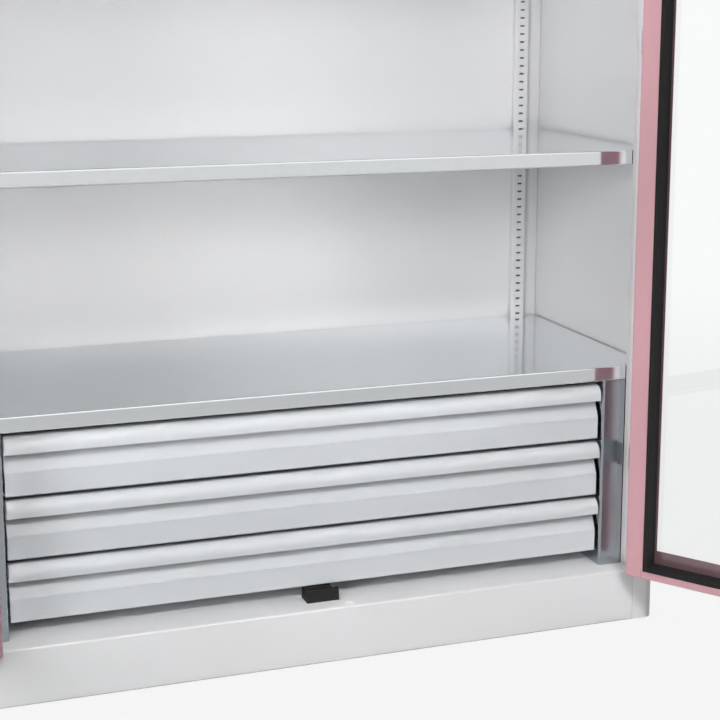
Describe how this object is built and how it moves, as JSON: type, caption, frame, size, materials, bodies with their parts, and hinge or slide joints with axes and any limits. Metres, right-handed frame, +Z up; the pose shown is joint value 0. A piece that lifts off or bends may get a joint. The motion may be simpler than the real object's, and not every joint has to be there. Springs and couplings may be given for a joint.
{
  "type": "storage cabinet",
  "caption": "Tall folded-steel storage cabinet: glazed double doors, shelves on slotted rails, drawers with grip lips, and a lever lock that throws rods up and down.",
  "frame": {"origin": "on the floor, at mid-width, on the carcass's front plane", "axes": "+Z up, +X to the right seen from the front, +Y to the back"},
  "size_m": [1.7487, 0.9868, 1.95],
  "materials": {
    "light_grey_paint": "satin",
    "pink_paint": "satin",
    "galvanised_steel": "glossy",
    "zinc_steel": "satin",
    "black_rubber": "matte",
    "black_plastic": "matte",
    "clear_acrylic": "glossy"
  },
  "bodies": {
    "carcass": {"back_panel": "light_grey_paint", "base_tray": "light_grey_paint", "door_stop_block": "black_plastic", "drawer_cover_shelf": "galvanised_steel", "drawer_housing_left": "galvanised_steel", "drawer_housing_right": "galvanised_steel", "fixed_runners": "zinc_steel", "frame_hinge_leaves": "zinc_steel", "hinge_pins": "zinc_steel", "post_rail_left": "light_grey_paint", "post_rail_right": "light_grey_paint", "rear_rail_left": "light_grey_paint", "rear_rail_right": "light_grey_paint", "shelf_1": "galvanised_steel", "shelf_2": "galvanised_steel", "shelf_3": "galvanised_steel", "shelf_clips": "zinc_steel", "side_panel_left": "light_grey_paint", "side_panel_right": "light_grey_paint", "top_panel": "light_grey_paint"},
    "left_door": {"left_door_gasket": "black_rubber", "left_door_hinge_leaves": "zinc_steel", "left_door_pane": "clear_acrylic", "left_door_shell": "pink_paint"},
    "right_door": {"right_door_gasket": "black_rubber", "right_door_hinge_leaves": "zinc_steel", "right_door_overlap_strip": "pink_paint", "right_door_pane": "clear_acrylic", "right_door_shell": "pink_paint", "handle_plate": "black_plastic", "handle_screws": "zinc_steel", "lock_case": "black_plastic", "rod_guides": "black_plastic"},
    "handle": {"handle_lever": "black_plastic", "handle_spindle": "zinc_steel", "lock_cam": "zinc_steel"},
    "key": {"key_plug": "zinc_steel"},
    "upper_lock_rod": {"upper_rod": "zinc_steel"},
    "lower_lock_rod": {"lower_rod": "zinc_steel"},
    "drawer_1": {"drawer_1_front": "light_grey_paint", "drawer_1_tray": "light_grey_paint", "drawer_1_inner_runners": "zinc_steel"},
    "drawer_1_middle": {"drawer_1_middle_runners": "zinc_steel"},
    "drawer_2": {"drawer_2_front": "light_grey_paint", "drawer_2_tray": "light_grey_paint", "drawer_2_inner_runners": "zinc_steel"},
    "drawer_2_middle": {"drawer_2_middle_runners": "zinc_steel"},
    "drawer_3": {"drawer_3_front": "light_grey_paint", "drawer_3_tray": "light_grey_paint", "drawer_3_inner_runners": "zinc_steel"},
    "drawer_3_middle": {"drawer_3_middle_runners": "zinc_steel"}
  },
  "joints": [
    {"name": "left_door_hinge", "type": "hinge", "parent": "carcass", "child": "left_door", "pos_m": [-0.55675, -0.006, 0], "axis": [0, 0, -1], "range_deg": [-124, 56]},
    {"name": "right_door_hinge", "type": "hinge", "parent": "carcass", "child": "right_door", "pos_m": [0.55675, -0.006, 0], "axis": [0, 0, 1], "range_deg": [-124, 56]},
    {"name": "handle_turn", "type": "hinge", "parent": "right_door", "child": "handle", "pos_m": [0.84522, -0.4462, 1], "axis": [-0.829, -0.5592, 0], "range_deg": [0, 90]},
    {"name": "key_turn", "type": "hinge", "parent": "handle", "child": "key", "pos_m": [0.84522, -0.4462, 1], "axis": [-0.829, -0.5592, 0], "range_deg": [0, 90]},
    {"name": "upper_rod_slide", "type": "slide", "parent": "right_door", "child": "upper_lock_rod", "axis": [0, 0, 1], "range_m": [0, 0.0142]},
    {"name": "lower_rod_slide", "type": "slide", "parent": "right_door", "child": "lower_lock_rod", "axis": [0, 0, -1], "range_m": [0, 0.0142]},
    {"name": "drawer_1_slide", "type": "slide", "parent": "carcass", "child": "drawer_1", "axis": [0, -1, 0], "range_m": [0, 0.4]},
    {"name": "drawer_1_middle_slide", "type": "slide", "parent": "carcass", "child": "drawer_1_middle", "axis": [0, -1, 0], "range_m": [0, 0.2]},
    {"name": "drawer_2_slide", "type": "slide", "parent": "carcass", "child": "drawer_2", "axis": [0, -1, 0], "range_m": [0, 0.4]},
    {"name": "drawer_2_middle_slide", "type": "slide", "parent": "carcass", "child": "drawer_2_middle", "axis": [0, -1, 0], "range_m": [0, 0.2]},
    {"name": "drawer_3_slide", "type": "slide", "parent": "carcass", "child": "drawer_3", "axis": [0, -1, 0], "range_m": [0, 0.4]},
    {"name": "drawer_3_middle_slide", "type": "slide", "parent": "carcass", "child": "drawer_3_middle", "axis": [0, -1, 0], "range_m": [0, 0.2]}
  ],
  "couplings": [
    {"joint": "upper_rod_slide", "follows": "handle_turn", "m_per_rad": 0.0090031},
    {"joint": "lower_rod_slide", "follows": "handle_turn", "m_per_rad": 0.0090031},
    {"joint": "drawer_1_middle_slide", "follows": "drawer_1_slide", "ratio": 0.5},
    {"joint": "drawer_2_middle_slide", "follows": "drawer_2_slide", "ratio": 0.5},
    {"joint": "drawer_3_middle_slide", "follows": "drawer_3_slide", "ratio": 0.5}
  ]
}
